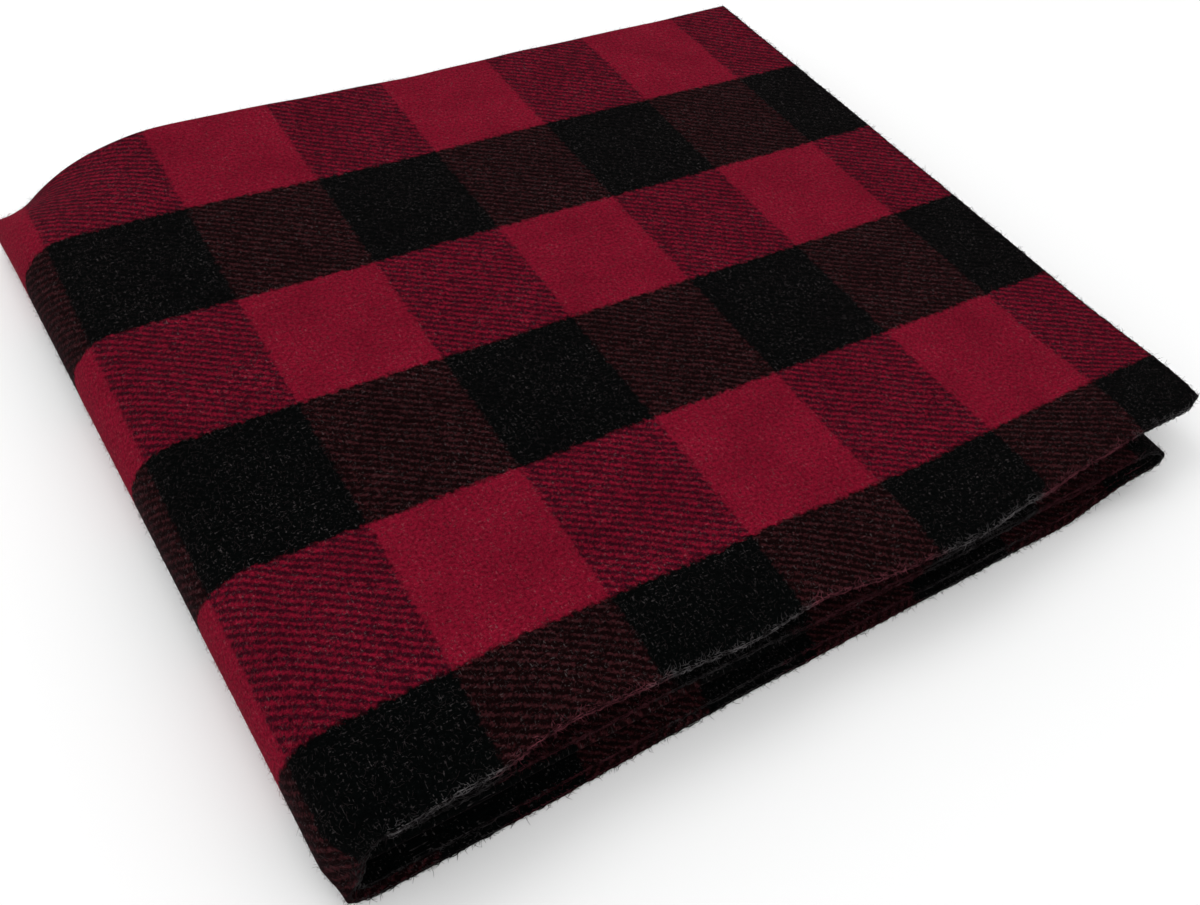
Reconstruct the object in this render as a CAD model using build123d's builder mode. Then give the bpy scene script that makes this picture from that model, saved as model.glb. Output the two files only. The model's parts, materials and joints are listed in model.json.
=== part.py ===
from build123d import *
import os
from math import asin, cos, degrees, sin

# A wool camp blanket, folded into a flat packet. The one cloth is folded in
# quarters along its length (front to back), then in thirds across its width
# (left to right). The bottom panel lies on the ground, the inner panel is
# folded over it at the right, and the top panel is folded over both at the
# left, in one tall fold that opens like a book.
#
# Frame: millimetres, +X from the book fold to the free edge, +Y to the back,
# +Z up. The origin is the middle of the packet, on the ground.

# Driving dimensions
packet_width = 423.0        # left to right: a third of the cloth's 1270
packet_depth = 381.0        # front to back: a quarter of the cloth's 1524
book_fold_height = 44.0     # the tall fold at the left
book_fold_wrap = 14.0       # four lofty plies where they go round that fold
flat_panel = 10.0           # four plies pressed flat, at the right
right_fold_setback = 16.0   # the right fold lies inside the top panel's edge
end_hem_depth = 4.5         # how far the front edge stitching stands out
side_hem_depth = 3.5        # the same at the two free side edges
side_hem_pitch = 2.5        # spacing of the four stacked side edges
hem_round = 0.6             # rounding of the stitched edges
hem_clearance = 0.2         # between a stitched edge and the cloth beside it
clearance = 0.3             # between panels that lie on each other
ground_flat = 0.3           # bulge of the underside that the ground presses flat

plies = 4                   # plies in each panel
end_hems = 2                # plies of each panel that end at the front

# Places worked out from the driving dimensions
front = -packet_depth / 2
back = packet_depth / 2
right = packet_width / 2

fold_radius = book_fold_height / 2
hinge_x = -packet_width / 2 + fold_radius
hinge = Vector(hinge_x, 0, fold_radius)
hinge_axis = Axis((hinge_x, 0, fold_radius), (0, -1, 0))

right_radius = (2 * flat_panel + clearance) / 2
right_fold_x = right - right_fold_setback - right_radius
right_axis = Axis((right_fold_x, 0, right_radius), (0, 1, 0))
right_height = 2 * right_radius + clearance + flat_panel

# The top panel slopes down from the tall fold to the flat right side.
slope = asin((book_fold_height - right_height) / (right_fold_x - hinge_x))
slope_direction = Vector(cos(slope), 0, -sin(slope))
top_length = (right - hinge_x) / cos(slope) - fold_radius * sin(slope)


def cut_across(x, height=0):
    """The level plane that cuts the packet at x. Its own x is the row's +Y,
    and its own y is the height above the given one."""
    return Plane(origin=(x, 0, height), x_dir=(0, 1, 0), z_dir=(1, 0, 0))


def cut_top_panel(distance):
    """The plane that cuts the sloping top panel, this far from its hinge."""
    return Plane(origin=hinge + slope_direction * distance, x_dir=(0, 1, 0), z_dir=slope_direction)


def cloth_section(plane, outer, inward, thickness):
    """A panel cut across. outer is the height of the blanket's outer face and
    inward is +1 or -1. The back is a round fold. At the front the inner half
    is a round fold, and the outer half stops short of its stitched edges."""
    quarter = thickness / plies
    step = front + end_hem_depth
    inner_face = outer + inward * thickness
    mid_ply = outer + inward * thickness / 2
    with BuildSketch(plane) as section:
        with BuildLine():
            Line((step, outer), (back - thickness / 2, outer))
            ThreePointArc((back - thickness / 2, outer), (back, mid_ply), (back - thickness / 2, inner_face))
            Line((back - thickness / 2, inner_face), (front + quarter, inner_face))
            ThreePointArc(
                (front + quarter, inner_face),
                (front, mid_ply + inward * quarter),
                (front + quarter, mid_ply),
            )
            Line((front + quarter, mid_ply), (step, mid_ply))
            Line((step, mid_ply), (step, outer))
        make_face()
    return section.sketch


def end_hem_section(plane, outer, inward, thickness, ply):
    """The stitched front edge of one ply, counted from the outer face."""
    pitch = thickness / plies
    depth = end_hem_depth - hem_clearance
    with BuildSketch(plane) as section:
        with Locations((front + depth / 2, outer + inward * (ply + 0.5) * pitch)):
            RectangleRounded(depth, pitch - hem_clearance, hem_round)
    return section.sketch


# Where each panel starts and ends: the plane, the height of its outer face,
# which way is inward, and its thickness there.
bottom_ends = [
    (cut_across(hinge_x + clearance), -ground_flat, 1, book_fold_wrap + ground_flat),
    (cut_across(right_fold_x - clearance), -ground_flat, 1, flat_panel + ground_flat),
]
top_ends = [
    (cut_top_panel(clearance), fold_radius, -1, book_fold_wrap),
    (cut_top_panel(top_length - side_hem_depth), fold_radius, -1, flat_panel),
]
inner_low = book_fold_wrap + clearance
inner_high = book_fold_height - book_fold_wrap - clearance
inner_ends = [
    (cut_across(hinge_x + clearance), inner_high, -1, inner_high - inner_low),
    (cut_across(right_fold_x - clearance), 2 * right_radius, -1, flat_panel),
]
panels = {"bottom": bottom_ends, "inner": inner_ends, "top": top_ends}
book_fold_start = (cut_top_panel(0), fold_radius, -1, book_fold_wrap)
right_fold_start = (cut_across(right_fold_x), 2 * right_radius, -1, flat_panel)

os.makedirs("parts", exist_ok=True)

# The three panels, each of four plies
for name, ends in panels.items():
    with BuildPart() as panel:
        loft([cloth_section(*end) for end in ends], ruled=True)
        if ends is bottom_ends:
            split(bisect_by=Plane.XY, keep=Keep.TOP)
    panel.part.label = f"{name}_panel"
    export_step(panel.part, f"parts/{panel.part.label}.step")

# The two folds that join them, each a panel's section turned about its fold line
with BuildPart() as book_fold:
    revolve(cloth_section(*book_fold_start).faces(), axis=hinge_axis, revolution_arc=180 + degrees(slope))
book_fold.part.label = "book_fold"
export_step(book_fold.part, "parts/book_fold.step")

with BuildPart() as right_fold:
    revolve(cloth_section(*right_fold_start).faces(), axis=right_axis, revolution_arc=180)
right_fold.part.label = "right_fold"
export_step(right_fold.part, "parts/right_fold.step")

# The stitched front edges: the outer and the next ply of the panels and folds
for ply, place in zip(range(end_hems), ("outer", "second")):
    for name, ends in panels.items():
        with BuildPart() as hem:
            loft([end_hem_section(*end, ply) for end in ends], ruled=True)
            if ends is bottom_ends and ply == 0:
                split(bisect_by=Plane.XY, keep=Keep.TOP)
        hem.part.label = f"{name}_panel_{place}_hem"
        export_step(hem.part, f"parts/{hem.part.label}.step")

    with BuildPart() as hem:
        section = end_hem_section(*book_fold_start, ply)
        revolve(section.faces(), axis=hinge_axis, revolution_arc=180 + degrees(slope))
    hem.part.label = f"book_fold_{place}_hem"
    export_step(hem.part, f"parts/{hem.part.label}.step")

    with BuildPart() as hem:
        section = end_hem_section(*right_fold_start, ply)
        revolve(section.faces(), axis=right_axis, revolution_arc=180)
    hem.part.label = f"right_fold_{place}_hem"
    export_step(hem.part, f"parts/{hem.part.label}.step")

# The stitched free side edges, stacked four high. The top panel's are at its
# right end, and the inner panel's are tucked into the hollow of the book fold.
side_hem_size = side_hem_pitch - hem_clearance
side_hem_length = packet_depth - book_fold_wrap

with BuildPart() as top_panel_side_hems:
    with BuildSketch(cut_top_panel(top_length - side_hem_depth + hem_clearance)):
        with Locations((0, fold_radius - flat_panel / 2)):
            with GridLocations(0, side_hem_pitch, 1, plies):
                RectangleRounded(side_hem_length, side_hem_size, hem_round)
    extrude(amount=side_hem_depth - hem_clearance)
top_panel_side_hems.part.label = "top_panel_side_hems"
export_step(top_panel_side_hems.part, "parts/top_panel_side_hems.step")

with BuildPart() as inner_panel_side_hems:
    with BuildSketch(cut_across(hinge_x + clearance - hem_clearance, fold_radius)):
        with GridLocations(0, side_hem_pitch, 1, plies):
            RectangleRounded(side_hem_length, side_hem_size, hem_round)
    extrude(amount=-(side_hem_depth - hem_clearance))
inner_panel_side_hems.part.label = "inner_panel_side_hems"
export_step(inner_panel_side_hems.part, "parts/inner_panel_side_hems.step")
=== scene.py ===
"""A folded wool camp blanket in a block check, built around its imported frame.

The blanket is one sheet of cloth. A place on it is (across, along): across is
the distance from the top panel's free side edge, along the distance from the
outer stitched end. fold_cloth() folds such a place into the packet, and every
piece here, from the cloth to the last loose fibre, is laid out with it.
"""

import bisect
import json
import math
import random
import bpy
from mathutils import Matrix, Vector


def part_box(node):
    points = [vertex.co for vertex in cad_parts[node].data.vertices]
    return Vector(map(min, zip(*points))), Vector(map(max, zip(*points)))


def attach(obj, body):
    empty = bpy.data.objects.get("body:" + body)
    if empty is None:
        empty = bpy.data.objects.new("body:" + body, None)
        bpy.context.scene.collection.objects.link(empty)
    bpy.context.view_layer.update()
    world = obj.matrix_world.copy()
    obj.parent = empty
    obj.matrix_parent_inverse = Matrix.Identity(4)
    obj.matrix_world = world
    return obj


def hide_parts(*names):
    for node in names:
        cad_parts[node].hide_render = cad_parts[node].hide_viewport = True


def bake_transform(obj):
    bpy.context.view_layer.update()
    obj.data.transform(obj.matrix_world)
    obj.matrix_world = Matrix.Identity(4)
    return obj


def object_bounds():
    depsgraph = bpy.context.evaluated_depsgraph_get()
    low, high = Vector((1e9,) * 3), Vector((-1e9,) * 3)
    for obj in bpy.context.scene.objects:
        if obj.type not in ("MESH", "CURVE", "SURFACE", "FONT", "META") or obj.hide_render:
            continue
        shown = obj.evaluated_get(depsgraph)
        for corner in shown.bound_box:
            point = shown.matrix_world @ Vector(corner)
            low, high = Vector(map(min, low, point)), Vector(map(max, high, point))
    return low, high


bl_info = {
    "name": "Folded camp blanket",
    "version": (1, 0, 0),
    "blender": (4, 5, 0),
    "location": "View3D > Sidebar > Blanket",
    "description": "Builds a folded wool camp blanket with stitched edges, nap and a studio stage",
    "category": "Add Mesh",
}

import bmesh
import bpy
from mathutils import Vector, noise

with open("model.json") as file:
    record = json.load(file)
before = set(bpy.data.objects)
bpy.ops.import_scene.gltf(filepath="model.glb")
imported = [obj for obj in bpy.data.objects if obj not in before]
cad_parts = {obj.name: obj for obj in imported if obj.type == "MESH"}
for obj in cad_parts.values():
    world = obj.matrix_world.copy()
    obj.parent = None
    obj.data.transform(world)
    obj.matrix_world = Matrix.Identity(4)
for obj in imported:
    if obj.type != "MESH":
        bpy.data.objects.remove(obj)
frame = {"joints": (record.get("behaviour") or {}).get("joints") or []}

MM = 0.001
CAD_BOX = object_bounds()

# Places read from the frame, in metres
HINGE = Vector(frame["joints"][0]["pos_m"])
PACKET_LOW, PACKET_HIGH = CAD_BOX
FRONT, BACK, RIGHT = PACKET_LOW.y, PACKET_HIGH.y, PACKET_HIGH.x
FOLD_RADIUS = HINGE.z
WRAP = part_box("bottom_panel")[1].z
RIGHT_FOLD_LOW, RIGHT_FOLD_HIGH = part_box("right_fold")
RIGHT_FOLD_RADIUS = RIGHT_FOLD_HIGH.z / 2
RIGHT_FOLD_X = RIGHT_FOLD_LOW.x
INNER_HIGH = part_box("inner_panel")[1].z
RIGHT_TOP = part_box("top_panel_side_hems")[1].z
SLOPE = math.asin((2 * FOLD_RADIUS - RIGHT_TOP) / (RIGHT - HINGE.x))

PLIES = 4
FLAT_PLY = (RIGHT_FOLD_RADIUS - 0.15 * MM) / PLIES
WRAP_PLY = WRAP / PLIES
INNER_PLY = (INNER_HIGH - WRAP) / PLIES

# Lengths of the cloth along the outer face of the letter fold
TOP_LENGTH = (RIGHT - HINGE.x) / math.cos(SLOPE) - 1 * MM
BOOK_FOLD_ARC = math.pi + SLOPE
BOOK_FOLD_LENGTH = FOLD_RADIUS * BOOK_FOLD_ARC
BOTTOM_LENGTH = RIGHT_FOLD_X - HINGE.x
RIGHT_FOLD_LENGTH = RIGHT_FOLD_RADIUS * math.pi
INNER_LENGTH = BOTTOM_LENGTH
BOTTOM_START = TOP_LENGTH + BOOK_FOLD_LENGTH
RIGHT_FOLD_START = BOTTOM_START + BOTTOM_LENGTH
INNER_START = RIGHT_FOLD_START + RIGHT_FOLD_LENGTH
ACROSS_END = INNER_START + INNER_LENGTH

# Lengths of the cloth along the quarter folds, for the plies in their order
# along the cloth: outer, innermost, third and second
MEAN_PLY = (FLAT_PLY + WRAP_PLY) / 2
PLY_LENGTH = BACK - FRONT - 2 * MEAN_PLY
OUTER_TURN = math.pi * 1.5 * MEAN_PLY
INNER_TURN = math.pi * 0.5 * MEAN_PLY
FIRST_BACK = PLY_LENGTH
FIRST_FRONT = FIRST_BACK + OUTER_TURN + PLY_LENGTH
SECOND_BACK = FIRST_FRONT + INNER_TURN + PLY_LENGTH
ALONG_END = SECOND_BACK + INNER_TURN + PLY_LENGTH


class ClothSettings(bpy.types.PropertyGroup):
    """The woven cloth"""

    thickness: bpy.props.FloatProperty(
        name="Thickness", description="Thickness of one napped ply", default=2.2 * MM, unit="LENGTH"
    )
    column: bpy.props.FloatProperty(
        name="Column", description="Width of one block of the check", default=63.0 * MM, unit="LENGTH"
    )
    row: bpy.props.FloatProperty(
        name="Row", description="Depth of one block of the check", default=68.3 * MM, unit="LENGTH"
    )
    first_column: bpy.props.FloatProperty(
        name="First column",
        description="From the top panel's side edge to the column that starts the count",
        default=356.3 * MM,
        unit="LENGTH",
    )
    first_row: bpy.props.FloatProperty(
        name="First row", description="From the stitched end to the first full row", default=36.6 * MM, unit="LENGTH"
    )
    wales_across: bpy.props.FloatProperty(
        name="Wales across", description="Twill lines in one column of the check", default=10.8
    )
    wales_along: bpy.props.FloatProperty(
        name="Wales along", description="Twill lines in one row of the check", default=18.0
    )
    red: bpy.props.FloatVectorProperty(
        name="Red", description="Colour where both yarns are red", subtype="COLOR", size=4,
        default=(0.150, 0.0040, 0.0150, 1),
    )
    black: bpy.props.FloatVectorProperty(
        name="Black", description="Colour where both yarns are black", subtype="COLOR", size=4,
        default=(0.0008, 0.0012, 0.0012, 1),
    )
    dark_red: bpy.props.FloatVectorProperty(
        name="Dark red", description="Black yarn that shows between red ones", subtype="COLOR", size=4,
        default=(0.028, 0.0020, 0.0060, 1),
    )
    brown: bpy.props.FloatVectorProperty(
        name="Brown", description="Red yarn that shows between black ones", subtype="COLOR", size=4,
        default=(0.030, 0.0075, 0.0090, 1),
    )
    edge_wander: bpy.props.FloatProperty(
        name="Edge wander", description="How far the edges stray from their line", default=1.6 * MM, unit="LENGTH"
    )
    hollow: bpy.props.FloatProperty(
        name="Hollow", description="Height of the soft dips and swells of the panels", default=1.1 * MM, unit="LENGTH"
    )


class StitchSettings(bpy.types.PropertyGroup):
    """The yarn whipped over the cut edges"""

    pitch: bpy.props.FloatProperty(name="Pitch", description="Spacing of the stitches", default=2.6 * MM, unit="LENGTH")
    yarn: bpy.props.FloatProperty(name="Yarn", description="Thickness of the yarn", default=0.32 * MM, unit="LENGTH")
    reach: bpy.props.FloatProperty(
        name="Reach", description="How far a stitch goes in from the edge", default=1.3 * MM, unit="LENGTH"
    )
    gray: bpy.props.FloatVectorProperty(
        name="Grey", description="Colour of the yarn over the black columns", subtype="COLOR", size=4,
        default=(0.076, 0.071, 0.073, 1),
    )
    pink: bpy.props.FloatVectorProperty(
        name="Pink", description="Colour of the yarn over the red columns", subtype="COLOR", size=4,
        default=(0.115, 0.030, 0.040, 1),
    )
    side: bpy.props.FloatVectorProperty(
        name="Side", description="Colour of the yarn of the side edges", subtype="COLOR", size=4,
        default=(0.012, 0.009, 0.010, 1),
    )


class NapSettings(bpy.types.PropertyGroup):
    """The loose fibres of the nap"""

    top_fibres: bpy.props.IntProperty(name="Top fibres", description="Fibres on each half of the top", default=8500)
    fold_fibres: bpy.props.IntProperty(name="Fold fibres", description="Fibres on the book fold", default=6000)
    base_fibres: bpy.props.IntProperty(name="Base fibres", description="Fibres on the lower plies", default=4000)
    length: bpy.props.FloatProperty(name="Length", description="Length of a fibre", default=3.0 * MM, unit="LENGTH")
    width: bpy.props.FloatProperty(name="Width", description="Thickness of a fibre", default=0.10 * MM, unit="LENGTH")


class StageSettings(bpy.types.PropertyGroup):
    """The studio"""

    focal_length: bpy.props.FloatProperty(
        name="Focal length", description="Focal length in millimetres on a 36 mm sensor", default=35.31
    )
    camera_place: bpy.props.FloatVectorProperty(
        name="Camera place", description="Where the camera stands", subtype="XYZ", unit="LENGTH",
        default=(-0.2305, -0.3416, 0.3891),
    )
    camera_turn: bpy.props.FloatVectorProperty(
        name="Camera turn", description="How the camera is turned", subtype="EULER", unit="ROTATION",
        default=(math.radians(41.13), math.radians(-4.44), math.radians(-30.96)),
    )


def cloth_settings():
    return bpy.context.scene.blanket_cloth


def mix(a, b, share):
    return a + (b - a) * share


def smooth(x):
    x = min(max(x, 0), 1)
    return x * x * (3 - 2 * x)


FOLD_MARGIN = 20 * MM       # cloth each side of the book fold that bends with it

# The amounts are chosen so that black blocks of the check fill the openings at the front: painted shade, where the real
# plies would show brown and red blocks in shadow.
PAINTED_SHADE_SLACK = 40 * MM
PAINTED_SHADE_ROW_SLACK = 60 * MM
PAINTED_SHADE_FOLD_SLACK = 50 * MM

NOSE_SETBACK = 5 * MM       # the plain front folds lie this far behind the stitched ends
FOLD_SKEW = 0.044           # the book fold runs a little askew: metres sideways for each metre back
FOLD_SKEW_CENTRE = -95 * MM
RIGHT_SKEW = 0.056          # and so does the right fold
FOLD_FLATNESS = 3.4         # 2 is a round fold; more presses its lower half flat on the ground

# How far the top panel's stitched end lies behind the packet's front, in
# millimetres, at even places from the book fold to the right edge
FRONT_EDGE_START = -187 * MM
FRONT_EDGE_STEP = 35.8 * MM
FRONT_EDGE = [-4.5, -2.5, 2.5, 1.5, -0.5, 2.5, -1.5, -2.5, 1.5, 5.0, 7.5, 8.0]


def front_edge(x):
    """How far the top panel's stitched end lies behind the packet's front at x."""
    place = min(max((x - FRONT_EDGE_START) / FRONT_EDGE_STEP, 0), len(FRONT_EDGE) - 1.001)
    index = int(place)
    return MM * mix(FRONT_EDGE[index], FRONT_EDGE[index + 1], smooth(place - index))


def quarter_fold(along, ply):
    """Where a place along the cloth comes to lie in a panel whose plies are
    this thick: (distance to the back, depth below the panel's outer face)."""
    back = BACK - 2 * ply
    if along <= FIRST_BACK:
        return mix(FRONT, back, along / PLY_LENGTH), 0.5 * ply
    along -= FIRST_BACK
    if along < OUTER_TURN:
        angle = math.pi * along / OUTER_TURN
        return back + 1.5 * ply * math.sin(angle), ply * (2 - 1.5 * math.cos(angle))
    along -= OUTER_TURN
    inner_front = FRONT + NOSE_SETBACK + ply
    if along <= PLY_LENGTH:
        return mix(back, inner_front, along / PLY_LENGTH), 3.5 * ply
    along -= PLY_LENGTH
    if along < INNER_TURN:
        angle = math.pi * along / INNER_TURN
        return inner_front - 0.5 * ply * math.sin(angle), ply * (3 + 0.5 * math.cos(angle))
    along -= INNER_TURN
    if along <= PLY_LENGTH:
        return mix(inner_front, back, along / PLY_LENGTH), 2.5 * ply
    along -= PLY_LENGTH
    if along < INNER_TURN:
        angle = math.pi * along / INNER_TURN
        return back + 0.5 * ply * math.sin(angle), ply * (2 + 0.5 * math.cos(angle))
    along -= INNER_TURN
    return mix(back, FRONT, along / PLY_LENGTH), 1.5 * ply


def letter_fold(across, y):
    """Where a place across the cloth comes to lie, at this distance to the
    back: (point of the outer face, one step into the panel, thickness of a ply)."""
    slope_along = Vector((math.cos(SLOPE), 0, -math.sin(SLOPE)))
    slope_up = Vector((math.sin(SLOPE), 0, math.cos(SLOPE)))
    shift = FOLD_SKEW * (FOLD_SKEW_CENTRE - y)
    hinge = HINGE + Vector((shift, 0, 0))
    right_fold = RIGHT_FOLD_X + RIGHT_SKEW * y
    top_length = TOP_LENGTH - shift
    bottom_start = BOTTOM_START - shift
    if across <= top_length:
        point = HINGE + slope_along * (TOP_LENGTH - across) + slope_up * FOLD_RADIUS
        return point, -slope_up, mix(FLAT_PLY, WRAP_PLY, across / top_length)
    if across < bottom_start:
        angle = math.pi / 2 - SLOPE + (across - top_length) / FOLD_RADIUS
        out = Vector((math.cos(angle), 0, math.sin(angle)))
        if angle > math.pi:
            power = 2 / FOLD_FLATNESS
            out = Vector((-(abs(out.x) ** power), 0, -(abs(out.z) ** power)))
        return hinge + out * FOLD_RADIUS, -out, WRAP_PLY
    if across <= RIGHT_FOLD_START:
        share = (across - bottom_start) / (RIGHT_FOLD_START - bottom_start)
        return Vector((mix(hinge.x, right_fold, share), 0, 0)), Vector((0, 0, 1)), mix(WRAP_PLY, FLAT_PLY, share)
    if across < INNER_START:
        angle = -math.pi / 2 + (across - RIGHT_FOLD_START) / RIGHT_FOLD_RADIUS
        out = Vector((math.cos(angle), 0, math.sin(angle)))
        return Vector((right_fold, 0, RIGHT_FOLD_RADIUS)) + out * RIGHT_FOLD_RADIUS, -out, FLAT_PLY
    share = min((across - INNER_START) / INNER_LENGTH, 1)
    point = Vector((mix(right_fold, hinge.x, share), 0, mix(2 * RIGHT_FOLD_RADIUS, INNER_HIGH, share)))
    return point, Vector((0, 0, -1)), mix(FLAT_PLY, INNER_PLY, share)


def wander(seed, place, size):
    """A soft irregular line that strays by about size, with waves as long as a hand is wide."""
    broad = noise.noise(Vector((place * 9, seed * 7.3, 0)))
    fine = noise.noise(Vector((place * 31, seed * 3.1, 5)))
    return size * (1.4 * broad + 0.5 * fine)


SECOND_PLY_SETBACK = 1.2 * MM   # behind the outer ply of the top panel
LOW_ENDS_LEFT_MM = -6.0         # the bottom panel's ends stand out in front,
LOW_ENDS_RIGHT_MM = -3.2        # less towards the right
LOW_SECOND_SETBACK = 2.5 * MM
INNER_ENDS_SETBACK = 1.5 * MM


def front_offset(across, x, ply_number):
    """How far behind the packet's front a ply ends."""
    stray = cloth_settings().edge_wander
    top = front_edge(x) + (wander(3, across, stray) + SECOND_PLY_SETBACK if ply_number else 0)
    bottom = mix(LOW_ENDS_LEFT_MM, LOW_ENDS_RIGHT_MM, smooth((x - PACKET_LOW.x) / (250 * MM))) * MM
    bottom += (LOW_SECOND_SETBACK if ply_number else 0) + wander(7 + ply_number, across, 0.4 * stray)
    if across < TOP_LENGTH:
        return top
    if across < BOTTOM_START:
        return mix(top, bottom, (across - TOP_LENGTH) / BOOK_FOLD_LENGTH)
    if across < RIGHT_FOLD_START:
        return bottom
    inner = INNER_ENDS_SETBACK + wander(11 + ply_number, across, 1.6 * stray)
    return mix(bottom, inner, smooth((across - RIGHT_FOLD_START) / RIGHT_FOLD_LENGTH))


PINCH_DEPTH = 11 * MM       # the book fold is pinched this far in from its front end
PINCH_IN = 0.38             # and by this share of its bulge
PINCH_DOWN = 0.10           # and lowered by this share
CORNER_REACH = 78 * MM      # the back left corner sinks within this distance
CORNER_SINK = 0.62          # by this share of its height
CORNER_DRAW_REACH = 40 * MM
CORNER_DRAW = 9 * MM        # and is drawn forward
SWELL_SHARE = 0.06          # the cloth beside that corner swells
SWELL_REACH = 120 * MM
NEAR_FRONT_DEPTH = 80 * MM
FRONT_RIGHT_LIFT = 13 * MM  # the lower plies rise at the front right
COVERED_DRAW_BACK = 21 * MM  # and the top panel's covered plies draw back there
TIP_ROUNDING = 3.5 * MM     # of the top panel's front right tip
BACK_RIGHT_SLANT = 6.5 * MM  # the back edge runs outwards to the right


def settle(point, across, front_gap, ply_number):
    """Lets a folded place sag: the pinched and dropped corners of the packet."""
    # The front end of the book fold is pinched together.
    pinch = 1 - smooth(front_gap / PINCH_DEPTH)
    fold_x = HINGE.x + FOLD_SKEW * (FOLD_SKEW_CENTRE - point.y)
    if point.x < fold_x:
        upper = smooth((point.z - 2 * MM) / (20 * MM))
        point.x = fold_x + (point.x - fold_x) * (1 - PINCH_IN * pinch * upper)
    point.z *= 1 - PINCH_DOWN * pinch * smooth((HINGE.x + 40 * MM - point.x) / (50 * MM))

    # The back left corner sinks.
    corner = Vector((point.x - PACKET_LOW.x, point.y - BACK, 0)).length
    point.z *= 1 - CORNER_SINK * max(0, 1 - corner / CORNER_REACH) ** 2
    beside_corner = Vector((point.x + 140 * MM, point.y - 170 * MM, 0)).length
    point.z *= 1 + SWELL_SHARE * (1 - smooth(beside_corner / SWELL_REACH))
    point.y -= CORNER_DRAW * max(0, 1 - corner / CORNER_DRAW_REACH) ** 2

    # At the front right the lower plies rise off the ground and the covered ones draw back.
    near_front = 1 - smooth((point.y - FRONT) / NEAR_FRONT_DEPTH)
    low = max(0, 1 - point.z / (2 * RIGHT_FOLD_RADIUS))
    right_share = smooth((point.x + 40 * MM) / (250 * MM))
    if across > BOTTOM_START:
        point.z += FRONT_RIGHT_LIFT * low * near_front * smooth((point.x - 122 * MM) / (48 * MM))
    elif across < TOP_LENGTH:
        point.x += (1.2 + 4.3 * near_front) * MM * right_share
        rounding = smooth((point.x - (RIGHT - 6 * MM)) / (11 * MM)) * (1 - smooth(front_gap / (12 * MM)))
        point.y += TIP_ROUNDING * rounding
        if ply_number:
            point.x -= COVERED_DRAW_BACK * near_front * smooth((point.x - 120 * MM) / (90 * MM))
    point.y += BACK_RIGHT_SLANT * right_share * (1 - smooth((BACK - point.y) / (60 * MM)))


END_EASE = 60 * MM          # an uneven end or fold is straight again this far in
FRONT_SAG = 1.2 * MM        # of the top panel towards its front
PLY_DROOP = 0.45            # of a stitched end, as a share of a ply


def fold_cloth(across, along):
    """The place in the packet of a place on the cloth, and the way out of its outer face there."""
    cloth = cloth_settings()
    y = quarter_fold(along, MEAN_PLY)[0]
    outer, inward, ply = letter_fold(across, y)
    y, depth = quarter_fold(along, ply)
    ply_number = min(int(depth / ply), 3)

    # The ends and the folds of each ply lie a little in front of or behind their line.
    front_gap = y - FRONT
    y += (1 - smooth(front_gap / END_EASE)) * front_offset(across, outer.x, ply_number)
    panel = 1 if across < TOP_LENGTH + BOOK_FOLD_LENGTH / 2 else 2 if across < RIGHT_FOLD_START else 3
    y += (1 - smooth((BACK - y) / END_EASE)) * wander(50 + panel, across, cloth.edge_wander)

    # The panels dip and swell softly, and their two stitched plies droop at the front.
    place = Vector((outer.x * 7, y * 7, panel * 3.7))
    swell = cloth.hollow * (noise.noise(place) + 0.4 * noise.noise(place * 2.7))
    inside = smooth(front_gap / (30 * MM)) * smooth((BACK - y) / (25 * MM))
    droop = 1 - smooth(front_gap / (16 * MM))
    if across < TOP_LENGTH:
        depth -= swell * inside * smooth((TOP_LENGTH - across) / (60 * MM))
        depth += FRONT_SAG * (1 - smooth(front_gap / (35 * MM)))
        if ply_number < 2:
            depth += PLY_DROOP * ply * droop * smooth((TOP_LENGTH - across) / (30 * MM))
    elif across > INNER_START and ply_number < 2:
        depth += PLY_DROOP * ply * droop
    point = outer + inward * depth
    point.y = y
    settle(point, across, front_gap, ply_number)
    return point, -inward.normalized()


def spread(start, end, step):
    """Evenly spaced values from start to end, at most step apart."""
    count = max(2, math.ceil((end - start) / step))
    return [mix(start, end, i / count) for i in range(count + 1)]


def join_runs(*runs):
    """One list of rising values from several that meet end to end."""
    values = list(runs[0])
    for run in runs[1:]:
        values.extend(run[1:])
    return values


def along_lines():
    """Places along the cloth where the mesh has a line: close in the folds, wide where hidden."""
    turn = 1.1 * MM
    runs = [
        spread(0, 30 * MM, 2.5 * MM),
        spread(30 * MM, FIRST_BACK, 4 * MM),
        spread(FIRST_BACK, FIRST_BACK + OUTER_TURN, turn),
        spread(FIRST_BACK + OUTER_TURN, FIRST_FRONT, 9 * MM),
        spread(FIRST_FRONT, FIRST_FRONT + INNER_TURN, turn),
        spread(FIRST_FRONT + INNER_TURN, SECOND_BACK, 9 * MM),
        spread(SECOND_BACK, SECOND_BACK + INNER_TURN, turn),
        spread(SECOND_BACK + INNER_TURN, ALONG_END - 30 * MM, 9 * MM),
        spread(ALONG_END - 30 * MM, ALONG_END, 3 * MM),
    ]
    return join_runs(*runs)


def new_object(name, mesh):
    piece = bpy.data.objects.new(name, mesh)
    bpy.context.scene.collection.objects.link(piece)
    return piece


def finished_mesh(piece):
    """Replaces a piece by a mesh with its modifiers or its bevel applied."""
    depsgraph = bpy.context.evaluated_depsgraph_get()
    mesh = bpy.data.meshes.new_from_object(
        piece.evaluated_get(depsgraph), preserve_all_data_layers=True, depsgraph=depsgraph
    )
    name = piece.name
    bpy.data.objects.remove(piece)
    return new_object(name, mesh)


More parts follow.
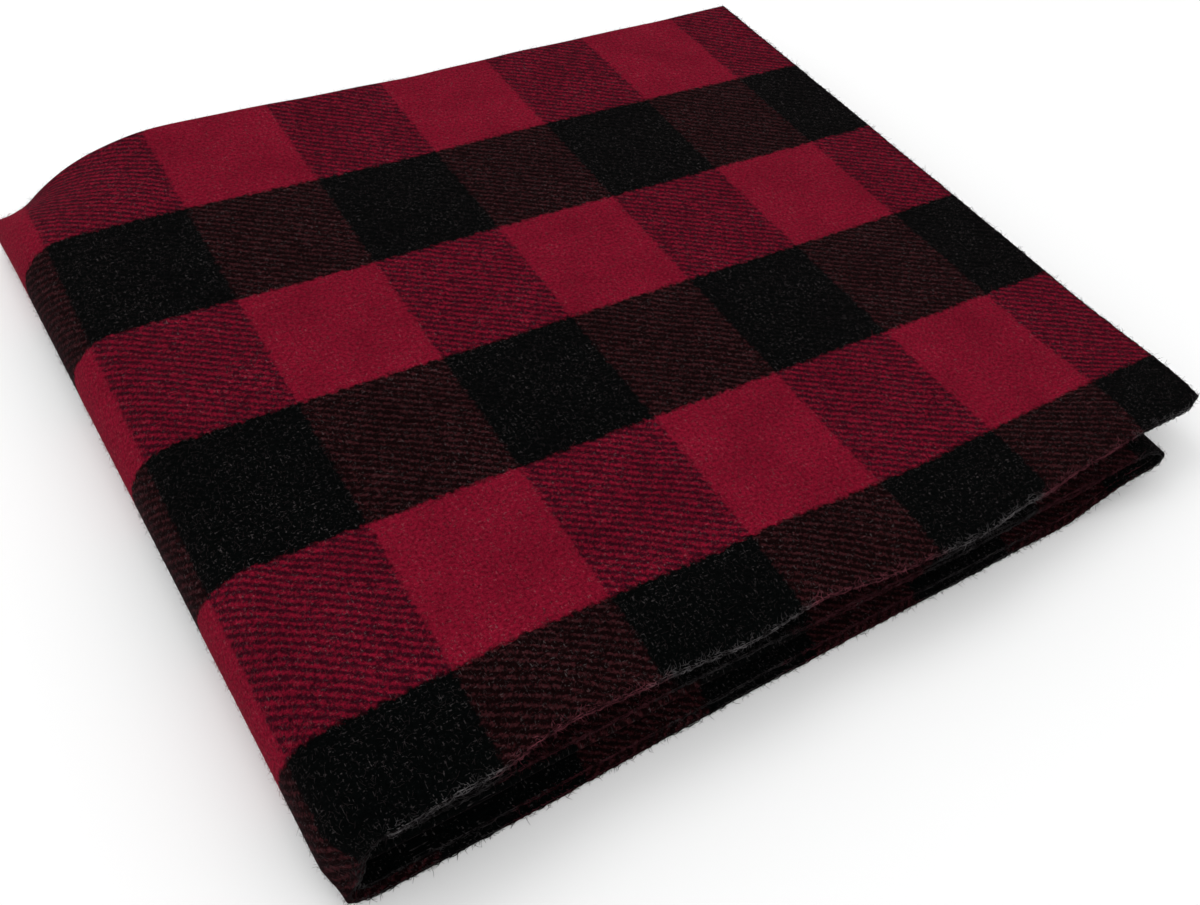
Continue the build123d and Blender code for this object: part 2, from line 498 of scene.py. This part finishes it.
def weave_place(across, along):
    """Where the weave stands at a place on the cloth, with the shifts of the bottom panel, of the
    inner plies, and of the book fold's covered plies: painted shade, black blocks moved into the openings at the front."""
    # Painted shade: these shifts put black blocks where the front openings lie in shadow.
    across += PAINTED_SHADE_SLACK * smooth((across - BOTTOM_START - FOLD_MARGIN) / (BOTTOM_LENGTH - 2 * FOLD_MARGIN))
    inner_length = PLY_LENGTH - 80 * MM
    rising = smooth((along - FIRST_BACK - OUTER_TURN - 40 * MM) / inner_length)
    falling = smooth((SECOND_BACK - 40 * MM - along) / inner_length)
    hidden = min(rising, falling)
    second = smooth((along - SECOND_BACK) / (100 * MM))
    in_fold = smooth((across - TOP_LENGTH) / (40 * MM)) * (1 - smooth((across - BOTTOM_START) / (40 * MM)))
    return across + PAINTED_SHADE_FOLD_SLACK * max(hidden, second) * in_fold, along + PAINTED_SHADE_ROW_SLACK * hidden


def make_cloth(name, across_lines, along_places):
    """A stretch of the cloth, folded, with its thickness and a UV map in metres of cloth."""
    across_count, along_count = len(across_lines) - 1, len(along_places) - 1
    grid = bmesh.new()
    uv_layer = grid.loops.layers.uv.new("UVMap")
    bmesh.ops.create_grid(grid, x_segments=across_count, y_segments=along_count, size=0.5)
    flat = {}
    for vertex in grid.verts:
        across = across_lines[round((vertex.co.x + 0.5) * across_count)]
        along = along_places[round((vertex.co.y + 0.5) * along_count)]
        flat[vertex] = (across, along)
        vertex.co = fold_cloth(across, along)[0]
    for face in grid.faces:
        face.smooth = True
        for loop in face.loops:
            loop[uv_layer].uv = weave_place(*flat[loop.vert])
    mesh = bpy.data.meshes.new(name)
    grid.to_mesh(mesh)
    grid.free()
    piece = new_object(name, mesh)
    solidify = piece.modifiers.new("Thickness", "SOLIDIFY")
    solidify.thickness = cloth_settings().thickness
    solidify.offset = 0
    piece = finished_mesh(piece)
    piece.data.set_sharp_from_angle(angle=math.radians(60))
    piece.data.materials.clear()
    piece.data.materials.append(wool_material())
    return piece


class Shader:
    """Short calls for building a node tree."""

    def __init__(self, material):
        material.use_nodes = True
        self.tree = material.node_tree
        self.tree.nodes.clear()

    def node(self, kind, inputs=(), **settings):
        node = self.tree.nodes.new(kind)
        for key, value in settings.items():
            setattr(node, key, value)
        for key, value in dict(inputs).items():
            self.put(node.inputs[key], value)
        return node

    def put(self, socket, value):
        if isinstance(value, bpy.types.NodeSocket):
            self.tree.links.new(value, socket)
        else:
            socket.default_value = value

    def math(self, operation, a, b=0.0, c=0.0, clamp=False):
        node = self.tree.nodes.new("ShaderNodeMath")
        node.operation = operation
        node.use_clamp = clamp
        for socket, value in zip(node.inputs, (a, b, c)):
            self.put(socket, value)
        return node.outputs[0]

    def step(self, value, low, high):
        """0 below low, 1 above high, smooth between."""
        node = self.node(
            "ShaderNodeMapRange", {"Value": value, "From Min": low, "From Max": high}, interpolation_type="SMOOTHSTEP"
        )
        return node.outputs["Result"]

    def noise(self, vector, scale, detail=2.0, roughness=0.5, stretch=None):
        if stretch:
            vector = self.node("ShaderNodeMapping", {"Vector": vector, "Scale": stretch}).outputs[0]
        node = self.node(
            "ShaderNodeTexNoise", {"Vector": vector, "Scale": scale, "Detail": detail, "Roughness": roughness}
        )
        return node.outputs["Fac"]

    def blend(self, share, a, b, mode="MIX"):
        node = self.node("ShaderNodeMix", data_type="RGBA", blend_type=mode)
        self.put(node.inputs[0], share)
        self.put(node.inputs[6], a)
        self.put(node.inputs[7], b)
        return node.outputs[2]


def woven_colors(shade, uv):
    """The block check and its twill: (colour, height of the wales, the drag of the nap)."""
    cloth = cloth_settings()
    parts = shade.node("ShaderNodeSeparateXYZ", {"Vector": uv}).outputs
    drag = shade.math("SUBTRACT", shade.noise(uv, 300, detail=4, roughness=0.65), 0.5)
    column = shade.math("DIVIDE", shade.math("SUBTRACT", cloth.first_column, parts[0]), cloth.column)
    row = shade.math("DIVIDE", shade.math("SUBTRACT", parts[1], cloth.first_row), cloth.row)
    red_column = shade.math("SINE", shade.math("MULTIPLY", shade.math("MULTIPLY_ADD", drag, 0.10, column), math.pi))
    red_row = shade.math("SINE", shade.math("MULTIPLY", shade.math("MULTIPLY_ADD", drag, 0.10, row), math.pi))
    red_column = shade.step(red_column, -0.05, 0.05)
    red_row = shade.step(red_row, -0.05, 0.05)

    # Twill: slanting wales, broken and ragged where the nap is brushed over them.
    phase = shade.math(
        "ADD", shade.math("MULTIPLY", column, cloth.wales_across), shade.math("MULTIPLY", row, cloth.wales_along)
    )
    slow = shade.noise(uv, 40, detail=2)
    phase = shade.math("MULTIPLY_ADD", slow, 0.9, phase)
    phase = shade.math("MULTIPLY_ADD", drag, 0.55, phase)
    wale = shade.math("SINE", shade.math("MULTIPLY", phase, 2 * math.pi))
    broken = shade.math("SUBTRACT", shade.noise(uv, 230, detail=3, roughness=0.65), 0.5)
    ragged = shade.math("SUBTRACT", shade.noise(uv, 800, detail=3, roughness=0.75), 0.5)
    rough_wale = shade.math("MULTIPLY_ADD", broken, 5.0, shade.math("MULTIPLY_ADD", ragged, 9.0, wale))
    row_on_top = shade.step(rough_wale, -1.15, 1.95)
    column_on_top = shade.step(rough_wale, 0.20, -1.70)

    mixed_red = shade.blend(row_on_top, tuple(cloth.dark_red), tuple(cloth.red))
    over_red_row = shade.blend(red_column, mixed_red, tuple(cloth.red))
    over_black_row = shade.blend(
        red_column, tuple(cloth.black), shade.blend(column_on_top, scaled(cloth.brown, 0.14), tuple(cloth.brown))
    )
    return shade.blend(red_row, over_black_row, over_red_row), wale, drag


def scaled(color, share):
    return (color[0] * share, color[1] * share, color[2] * share, 1)


def gray_level(shade, value):
    return shade.node("ShaderNodeCombineColor", {0: value, 1: value, 2: value}).outputs[0]


def woollen(shade, color, normal):
    """The dull surface that cloth, yarn and fibres share."""
    surface = shade.node(
        "ShaderNodeBsdfPrincipled",
        {
            "Base Color": color,
            "Roughness": 0.95,
            "Specular IOR Level": 0.01,
            "Sheen Weight": 0.012,
            "Sheen Roughness": 0.4,
            "Sheen Tint": (1.0, 0.55, 0.65, 1),
            "Normal": normal,
        },
    )
    output = shade.node("ShaderNodeOutputMaterial")
    shade.tree.links.new(surface.outputs[0], output.inputs[0])


def wool_material():
    """Napped twill: the block check of its yarns, its slanting wales, and the nap over both."""
    if "wool_twill" in bpy.data.materials:
        return bpy.data.materials["wool_twill"]
    material = bpy.data.materials.new("wool_twill")
    shade = Shader(material)
    uv = shade.node("ShaderNodeUVMap", uv_map="UVMap").outputs["UV"]
    woven, wale, drag = woven_colors(shade, uv)

    # The nap lightens and darkens it in tufts and clouds, with pale fibres here and there.
    tuft = shade.noise(uv, 720, detail=4, roughness=0.8)
    cloud = shade.noise(uv, 38, detail=4, roughness=0.6)
    level = shade.math("MULTIPLY_ADD", tuft, 3.4, -0.72)
    level = shade.math("MAXIMUM", level, 0.15)
    level = shade.math("MULTIPLY", level, shade.math("MULTIPLY_ADD", cloud, 0.7, 0.65))
    napped = shade.blend(1.0, woven, gray_level(shade, level), "MULTIPLY")
    hair = shade.noise(uv, 1300, detail=2, roughness=0.7, stretch=(0.35, 1.0, 1.0))
    cross_hair = shade.noise(uv, 1200, detail=2, roughness=0.7, stretch=(1.0, 0.30, 1.0))
    fleck = shade.math("ADD", shade.step(hair, 0.61, 0.72), shade.step(cross_hair, 0.61, 0.72))
    fleck = shade.math("MULTIPLY", fleck, shade.math("MULTIPLY_ADD", cloud, 1.2, -0.2, clamp=True))
    pale = shade.blend(1.0, gray_level(shade, fleck), (0.085, 0.0720, 0.0740, 1), "MULTIPLY")
    napped = shade.blend(1.0, napped, pale, "ADD")

    height = shade.math("MULTIPLY_ADD", wale, 0.20, shade.math("MULTIPLY", tuft, 1.4))
    height = shade.math("MULTIPLY_ADD", drag, 1.2, height)
    bump = shade.node("ShaderNodeBump", {"Height": height, "Strength": 0.6, "Distance": 0.7 * MM})
    woollen(shade, napped, bump.outputs["Normal"])
    return material


def fibre_material():
    """Loose fibres, a little paler than the cloth they come from."""
    if "loose_fibre" in bpy.data.materials:
        return bpy.data.materials["loose_fibre"]
    material = bpy.data.materials.new("loose_fibre")
    shade = Shader(material)
    uv = shade.node("ShaderNodeUVMap", uv_map="UVMap").outputs["UV"]
    woven = woven_colors(shade, uv)[0]
    tone = shade.noise(uv, 700, detail=2)
    level = shade.math("MULTIPLY_ADD", tone, 2.0, 0.1)
    toned = shade.blend(1.0, woven, gray_level(shade, level), "MULTIPLY")
    tinted = shade.blend(1.0, toned, (0.026, 0.019, 0.020, 1), "ADD")
    bump = shade.node("ShaderNodeBump", {"Height": tone, "Strength": 0.1, "Distance": 0.1 * MM})
    woollen(shade, tinted, bump.outputs["Normal"])
    return material


def yarn_material(kind):
    """Soft wool yarn: the end hems turn from grey to pink with the check, the hems of the lower panels are darkened as
    painted shade, and the side edges stay dark.
    """
    name = f"{kind}_yarn"
    if name in bpy.data.materials:
        return bpy.data.materials[name]
    stitch = bpy.context.scene.blanket_stitch
    cloth = cloth_settings()
    material = bpy.data.materials.new(name)
    shade = Shader(material)
    place = shade.node("ShaderNodeTexCoord").outputs["Object"]
    fuzz = shade.noise(place, 2600, detail=3, roughness=0.7)
    if kind != "side":
        x = shade.node("ShaderNodeSeparateXYZ", {"Vector": place}).outputs[0]
        column = shade.math("DIVIDE", shade.math("SUBTRACT", x, RIGHT - cloth.first_column), cloth.column)
        column = shade.math("SUBTRACT", column, 0.25)
        column = shade.math("MULTIPLY_ADD", shade.noise(place, 120, detail=3), 0.5, column)
        pink = shade.step(shade.math("SINE", shade.math("MULTIPLY", column, math.pi)), -0.3, 0.3)
        tone = shade.blend(pink, tuple(stitch.gray), tuple(stitch.pink))
        worn = shade.noise(place, 210, detail=3, roughness=0.65)
        level = shade.math("MAXIMUM", shade.math("MULTIPLY_ADD", worn, 3.9, -1.3), 0.10)
        # The lower panels' hems lie low at the front, where shade falls: their yarn is darkened here as painted shade.
        if kind == "low":
            level = shade.math("MULTIPLY", level, 0.3)
    else:
        tone = tuple(stitch.side)
        level = shade.math("MULTIPLY_ADD", fuzz, 1.4, 0.3)
    bump = shade.node("ShaderNodeBump", {"Height": fuzz, "Strength": 0.5, "Distance": 0.2 * MM})
    woollen(shade, shade.blend(1.0, tone, gray_level(shade, level), "MULTIPLY"), bump.outputs["Normal"])
    return material


def bend_with_book_fold(piece):
    """Bakes the piece's placement into its mesh; it is attached to neither the base nor the top panel."""
    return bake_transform(piece)


class BLANKET_OT_cloth(bpy.types.Operator):
    """Fold the cloth: the top panel, the book fold, and the bottom and inner panels"""

    bl_idname = "blanket.cloth"
    bl_label = "Cloth"

    def execute(self, context):
        along = along_lines()
        fold_start = TOP_LENGTH - FOLD_MARGIN
        fold_end = BOTTOM_START + FOLD_MARGIN

        top = make_cloth("top_cloth", spread(0, fold_start, 4 * MM), along)
        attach(top, "cover")
        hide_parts("top_panel")

        fold_lines = join_runs(
            spread(fold_start, TOP_LENGTH, 5 * MM),
            spread(TOP_LENGTH, BOTTOM_START, 2.2 * MM),
            spread(BOTTOM_START, fold_end, 5 * MM),
        )
        fold = make_cloth("book_fold_cloth", fold_lines, along)
        bend_with_book_fold(fold)
        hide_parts("book_fold")

        base_lines = join_runs(
            spread(fold_end, RIGHT_FOLD_START, 8 * MM),
            spread(RIGHT_FOLD_START, INNER_START, 2.2 * MM),
            spread(INNER_START, ACROSS_END, 8 * MM),
        )
        base = make_cloth("base_cloth", base_lines, along)
        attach(base, "base")
        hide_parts("bottom_panel", "right_fold", "inner_panel")
        return {"FINISHED"}


class Threads:
    """Many fine threads gathered into one piece."""

    def __init__(self, name, thickness):
        self.name = name
        self.curve = bpy.data.curves.new(name, "CURVE")
        self.curve.dimensions = "3D"
        self.curve.bevel_depth = thickness / 2
        self.curve.bevel_resolution = 0
        self.curve.use_fill_caps = True

    def add(self, points, shares=None):
        """One thread through these points, each with its share of the full thickness."""
        spline = self.curve.splines.new("POLY")
        spline.points.add(len(points) - 1)
        for index, (target, point) in enumerate(zip(spline.points, points)):
            target.co = (*point, 1)
            target.radius = shares[index] if shares else 1

    def finish(self, material):
        piece = finished_mesh(new_object(self.name, self.curve))
        for face in piece.data.polygons:
            face.use_smooth = True
        piece.data.materials.clear()
        piece.data.materials.append(material)
        return piece


def loose_fibre(rng, root, normal, length):
    """The points of one bent fibre that starts just under the nap."""
    lean = Vector((rng.uniform(-1, 1), rng.uniform(-1, 1), rng.uniform(-1, 1)))
    lean = (lean - normal * lean.dot(normal)).normalized()
    turn = Vector((rng.uniform(-1, 1), rng.uniform(-1, 1), rng.uniform(-1, 1))) * 0.6
    first = (lean + normal * rng.uniform(0.25, 0.9)).normalized()
    second = (first + turn - normal * 0.35).normalized()
    middle = root + first * length * 0.5
    return [root, middle, middle + second * length * 0.5]


def above_floor(point, clearance=0.25 * MM):
    point.z = max(point.z, clearance)
    return point


POINTS_PER_STITCH = 10
RUN_STEP_MM = 1.4           # spacing of the points of the yarn that runs along an edge
STRAY_SPACING = 0.4 * MM    # one stray fibre for each such length of edge


def stitched_edge(name, path, kind):
    """Yarn whipped over a cut edge, with fibres that stray from it.
    path holds (place, out of the edge, out of the face)."""
    stitch = bpy.context.scene.blanket_stitch
    rng = random.Random(name)
    half_height = cloth_settings().thickness / 2 + stitch.yarn * 0.3
    lengths = [0.0]
    for (a, _, _), (b, _, _) in zip(path, path[1:]):
        lengths.append(lengths[-1] + (b - a).length)
    length = lengths[-1]

    def at(distance):
        distance = min(max(distance, 0), length)
        segment = min(bisect.bisect_right(lengths, distance) - 1, len(path) - 2)
        share = (distance - lengths[segment]) / max(lengths[segment + 1] - lengths[segment], 1e-9)
        a, b = path[segment], path[segment + 1]
        return a[0].lerp(b[0], share), a[1].lerp(b[1], share).normalized(), a[2].lerp(b[2], share).normalized()

    threads = Threads(name, stitch.yarn)
    stitches = max(1, round(length / stitch.pitch))
    points = []
    distance, reach = 0.0, stitch.reach
    for i in range(stitches):
        pitch = length / stitches * rng.uniform(0.6, 1.4)
        reach = stitch.reach * rng.uniform(0.15, 1.3)
        lift = rng.uniform(0.85, 1.15)
        for j in range(POINTS_PER_STITCH):
            angle = 2 * math.pi * j / POINTS_PER_STITCH
            place, out, up = at(distance + pitch * j / POINTS_PER_STITCH)
            inward = reach / 2 * (1 - math.cos(angle)) - stitch.yarn * 0.4
            points.append(above_floor(place - out * inward + up * half_height * lift * math.sin(angle)))
        distance = min(distance + pitch, length * (i + 1) / stitches + stitch.pitch)
    threads.add(points)

    # The yarn that runs along the edge, at its upper and lower corner
    for side in (0.75, -0.6):
        run = []
        for i in range(int(length / (RUN_STEP_MM * MM)) + 1):
            place, out, up = at(i * RUN_STEP_MM * MM)
            jitter = rng.uniform(-0.4, 0.5) * MM
            run.append(above_floor(place + out * jitter + up * (half_height * side + rng.uniform(-0.2, 0.2) * MM)))
        threads.add(run, [rng.uniform(0.8, 1.5) for _ in run])

    for _ in range(int(length / STRAY_SPACING)):
        place, out, up = at(rng.uniform(0, length))
        normal = (up * rng.uniform(0.2, 1) + out * rng.uniform(-0.2, 1)).normalized()
        root = place + up * half_height * 0.7 - out * rng.uniform(-0.2, 1.5) * MM
        fibre = loose_fibre(rng, root, normal, rng.uniform(1.5, 3.8) * MM)
        threads.add([above_floor(point) for point in fibre], (0.45, 0.38, 0.18))
    return threads.finish(yarn_material(kind))


def edge_path(places, out):
    """The path of an edge through these places of the cloth, for stitched_edge."""
    path = []
    for across, along in places:
        point, up = fold_cloth(across, along)
        path.append((point, out, up))
    return path


class BLANKET_OT_end_hems(bpy.types.Operator):
    """Stitch the two cut ends that show at the front"""

    bl_idname = "blanket.end_hems"
    bl_label = "End hems"

    def execute(self, context):
        stretches = {
            "top_panel": (0, TOP_LENGTH),
            "book_fold": (TOP_LENGTH, BOTTOM_START),
            "bottom_panel": (BOTTOM_START, RIGHT_FOLD_START),
            "right_fold": (RIGHT_FOLD_START, INNER_START),
            "inner_panel": (INNER_START, ACROSS_END),
        }
        for place, along in (("outer", 0), ("second", ALONG_END)):
            for part, (start, end) in stretches.items():
                node = f"{part}_{place}_hem"
                places = [(across, along) for across in spread(start, end, 2 * MM)]
                # The lower panels' hems get the darkened yarn, a painted shade.
                kind = "end" if part == "top_panel" else "low"
                piece = stitched_edge(f"{node}_yarn", edge_path(places, Vector((0, -1, 0))), kind)
                if part == "book_fold":
                    bend_with_book_fold(piece)
                else:
                    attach(piece, "cover" if part == "top_panel" else "base")
                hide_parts(node)
        return {"FINISHED"}


class BLANKET_OT_side_hems(bpy.types.Operator):
    """Stitch the two side edges, each doubled into a stack of four"""

    bl_idname = "blanket.side_hems"
    bl_label = "Side hems"

    def execute(self, context):
        along = along_lines()
        right_edge = Vector((math.cos(SLOPE), 0, -math.sin(SLOPE)))
        top = stitched_edge("top_panel_side_hems_yarn", edge_path([(0, a) for a in along], right_edge), "side")
        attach(top, "cover")
        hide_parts("top_panel_side_hems")
        left_edge = Vector((-1, 0, 0))
        path = edge_path([(ACROSS_END, a) for a in along], left_edge)
        inner = stitched_edge("inner_panel_side_hems_yarn", path, "side")
        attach(inner, "base")
        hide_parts("inner_panel_side_hems")
        return {"FINISHED"}


def nap_piece(name, count, across_range, along_ranges):
    """Fibres strewn over a stretch of the cloth, each coloured as the cloth under it."""
    nap = bpy.context.scene.blanket_nap
    rng = random.Random(name)
    sunk = cloth_settings().thickness / 2 - 0.25 * MM
    threads = Threads(name, nap.width)
    roots = []
    spans = [end - start for start, end in along_ranges]
    step = 1 * MM
    for _ in range(count):
        across = rng.uniform(*across_range)
        along = rng.uniform(*rng.choices(along_ranges, spans)[0])
        point, up = fold_cloth(across, along)
        sideways = fold_cloth(across + step, along)[0] - point
        backward = fold_cloth(across, along + step)[0] - point
        normal = sideways.cross(backward).normalized()
        if normal.dot(up) < 0:
            normal.negate()
        fibre = loose_fibre(rng, point + normal * sunk, normal, nap.length * rng.uniform(0.5, 1.2))
        threads.add([above_floor(place) for place in fibre], (1, 0.8, 0.35))
        roots.append(weave_place(across, along))
    piece = threads.finish(fibre_material())
    mesh = piece.data
    # The mesh holds the two end caps of every fibre first, then their tubes.
    cap_points, tube_points = 8, 12
    tubes_from = cap_points * count
    uv_layer = mesh.uv_layers.get("UVMap") or mesh.uv_layers.new(name="UVMap")
    for corner, loop in zip(uv_layer.data, mesh.loops):
        point = loop.vertex_index
        fibre = point // cap_points if point < tubes_from else (point - tubes_from) // tube_points
        corner.uv = roots[fibre]
    return piece


class BLANKET_OT_nap(bpy.types.Operator):
    """Raise the nap: loose fibres on the top, round the book fold and on the lower plies"""

    bl_idname = "blanket.nap"
    bl_label = "Nap"

    def execute(self, context):
        nap = context.scene.blanket_nap
        fold_start = TOP_LENGTH - FOLD_MARGIN
        fold_end = BOTTOM_START + FOLD_MARGIN
        half_top = fold_start / 2
        outer_ply = (0, FIRST_BACK + OUTER_TURN)
        second_end = (ALONG_END - 25 * MM, ALONG_END)
        for side, span in (("right", (0, half_top)), ("left", (half_top, fold_start))):
            piece = nap_piece(f"top_nap_{side}", nap.top_fibres, span, [outer_ply, second_end])
            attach(piece, "cover")
        piece = nap_piece("book_fold_nap", nap.fold_fibres, (fold_start, BOTTOM_START - 8 * MM), [outer_ply])
        bend_with_book_fold(piece)
        edges = [(0, 12 * MM), second_end, (FIRST_BACK, FIRST_BACK + OUTER_TURN)]
        piece = nap_piece("base_nap", nap.base_fibres, (fold_end, ACROSS_END), edges)
        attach(piece, "base")
        right = (RIGHT_FOLD_START + 6 * MM, INNER_START)
        piece = nap_piece("right_fold_nap", nap.base_fibres // 2, right, [outer_ply])
        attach(piece, "base")
        return {"FINISHED"}


def area_lamp(name, place, target, size, power):
    lamp = bpy.data.lights.new(name, "AREA")
    lamp.shape = "DISK"
    lamp.size = size
    lamp.energy = power
    holder = bpy.data.objects.new(name, lamp)
    holder.location = place
    holder.rotation_euler = (Vector(target) - Vector(place)).to_track_quat("-Z", "Y").to_euler()
    bpy.context.scene.collection.objects.link(holder)


FLOOR_HALF_WIDTH = 6
WORLD_STRENGTH = 1.0
LAMP_TARGET = (0, 0, 0.03)


class BLANKET_OT_stage(bpy.types.Operator):
    """Add the pale floor, the soft lights and the camera"""

    bl_idname = "blanket.stage"
    bl_label = "Stage"

    def execute(self, context):
        stage = context.scene.blanket_stage
        grid = bmesh.new()
        bmesh.ops.create_grid(grid, x_segments=8, y_segments=8, size=FLOOR_HALF_WIDTH)
        mesh = bpy.data.meshes.new("floor")
        grid.to_mesh(mesh)
        grid.free()
        floor = new_object("floor", mesh)
        material = bpy.data.materials.new("floor")
        shade = Shader(material)
        place = shade.node("ShaderNodeTexCoord").outputs["Object"]
        tone = shade.blend(shade.noise(place, 2), (0.88, 0.88, 0.88, 1), (0.91, 0.91, 0.91, 1))
        surface = shade.node("ShaderNodeBsdfPrincipled", {"Base Color": tone, "Roughness": 0.9})
        output = shade.node("ShaderNodeOutputMaterial")
        shade.tree.links.new(surface.outputs[0], output.inputs[0])
        mesh.materials.append(material)

        world = bpy.data.worlds.new("studio")
        world.use_nodes = True
        world.node_tree.nodes["Background"].inputs[0].default_value = (1, 1, 1, 1)
        world.node_tree.nodes["Background"].inputs[1].default_value = WORLD_STRENGTH
        context.scene.world = world
        context.scene.view_settings.view_transform = "Standard"
        area_lamp("key", (-0.3, 0.9, 1.6), LAMP_TARGET, size=1.0, power=6)
        area_lamp("fill", (-1.4, -0.2, 1.2), LAMP_TARGET, size=1.2, power=2)

        camera = bpy.data.cameras.new("camera")
        camera.lens = stage.focal_length
        camera.sensor_width = 36
        holder = bpy.data.objects.new("camera", camera)
        holder.location = stage.camera_place
        holder.rotation_euler = stage.camera_turn
        context.scene.collection.objects.link(holder)
        context.scene.camera = holder
        return {"FINISHED"}


class BLANKET_PT_panel(bpy.types.Panel):
    """Everything the blanket is built from"""

    bl_label = "Camp blanket"
    bl_idname = "BLANKET_PT_panel"
    bl_space_type = "VIEW_3D"
    bl_region_type = "UI"
    bl_category = "Blanket"

    def draw(self, context):
        for operator in OPERATORS:
            self.layout.operator(operator.bl_idname)
        for settings in ("blanket_cloth", "blanket_stitch", "blanket_nap", "blanket_stage"):
            box = self.layout.box()
            group = getattr(context.scene, settings)
            for name in group.__annotations__:
                box.prop(group, name)


OPERATORS = (BLANKET_OT_cloth, BLANKET_OT_end_hems, BLANKET_OT_side_hems, BLANKET_OT_nap, BLANKET_OT_stage)
SETTINGS = {
    "blanket_cloth": ClothSettings,
    "blanket_stitch": StitchSettings,
    "blanket_nap": NapSettings,
    "blanket_stage": StageSettings,
}


def register():
    for name, group in SETTINGS.items():
        bpy.utils.register_class(group)
        setattr(bpy.types.Scene, name, bpy.props.PointerProperty(type=group))
    for operator in OPERATORS:
        bpy.utils.register_class(operator)
    bpy.utils.register_class(BLANKET_PT_panel)


def unregister():
    bpy.utils.unregister_class(BLANKET_PT_panel)
    for operator in reversed(OPERATORS):
        bpy.utils.unregister_class(operator)
    for name, group in SETTINGS.items():
        delattr(bpy.types.Scene, name)
        bpy.utils.unregister_class(group)


def main():
    register()
    bpy.ops.blanket.cloth()
    bpy.ops.blanket.end_hems()
    bpy.ops.blanket.side_hems()
    bpy.ops.blanket.nap()
    bpy.ops.blanket.stage()


if __name__ == "__main__":
    main()
